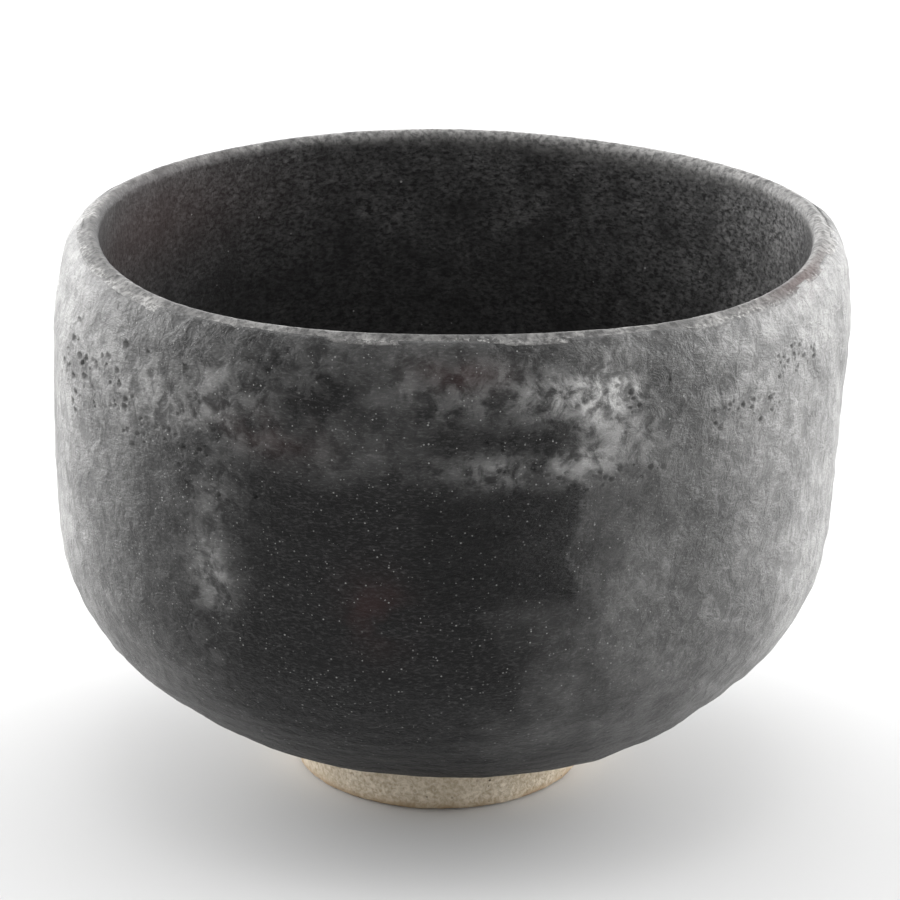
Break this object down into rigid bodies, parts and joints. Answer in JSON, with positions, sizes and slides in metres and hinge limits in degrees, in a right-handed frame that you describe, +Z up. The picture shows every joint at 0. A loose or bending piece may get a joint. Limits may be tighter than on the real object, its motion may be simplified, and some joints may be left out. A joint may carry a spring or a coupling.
{
  "type": "matcha bowl",
  "caption": "Hand-built tea bowl: thick rounded wall with an uneven lip, black glaze inside and out, and a bare clay foot ring.",
  "frame": {"origin": "on the surface that the bowl stands on, under the middle of its bounding box", "axes": "+Z up out of the mouth, +Y away from the side that faces the drinker, +X to that side's right"},
  "size_m": [0.1174, 0.1193, 0.0847],
  "materials": {
    "clay": "matte",
    "outer_glaze": "satin",
    "inner_glaze": "matte"
  },
  "bodies": {
    "root": {"clay_body": "clay", "foot_ring": "clay", "outer_glaze": "outer_glaze", "inner_glaze": "inner_glaze"}
  },
  "joints": []
}
